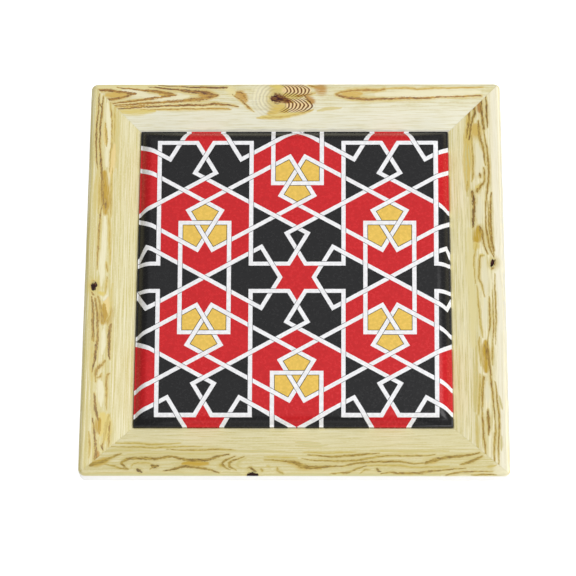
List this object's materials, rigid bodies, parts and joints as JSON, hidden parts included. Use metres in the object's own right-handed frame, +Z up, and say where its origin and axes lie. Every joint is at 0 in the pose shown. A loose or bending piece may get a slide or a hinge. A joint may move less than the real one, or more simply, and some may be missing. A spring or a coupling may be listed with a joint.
{
  "type": "ceramic coaster",
  "caption": "Square coaster: a raised, cushion-edged glazed tile with printed strapwork, in a mitred wood-grain border that slopes in to it on a white tray, backed with cork. A cup stands on the tile.",
  "frame": {"origin": "centre of the cork pad's underside, where the coaster stands on the table", "axes": "+Z up out of the printed face; +X to the right and -Y towards the viewer of the picture, along the border strips"},
  "size_m": [0.1, 0.1, 0.0077],
  "materials": {
    "printed_glaze": "gloss, printed in white, red, black and gold",
    "wood_grain": "satin, pale knotty pine grain",
    "white_glaze": "satin white",
    "mastic": "matt",
    "cork": "matt agglomerated cork",
    "adhesive_sheet": "satin film"
  },
  "bodies": {
    "root": {"ceramic_tile": "printed_glaze", "front_border_strip": "wood_grain", "back_border_strip": "wood_grain", "left_border_strip": "wood_grain", "right_border_strip": "wood_grain", "white_tray": "white_glaze", "tile_bed": "mastic", "cork_pad": "cork", "cork_adhesive": "adhesive_sheet"}
  },
  "joints": []
}
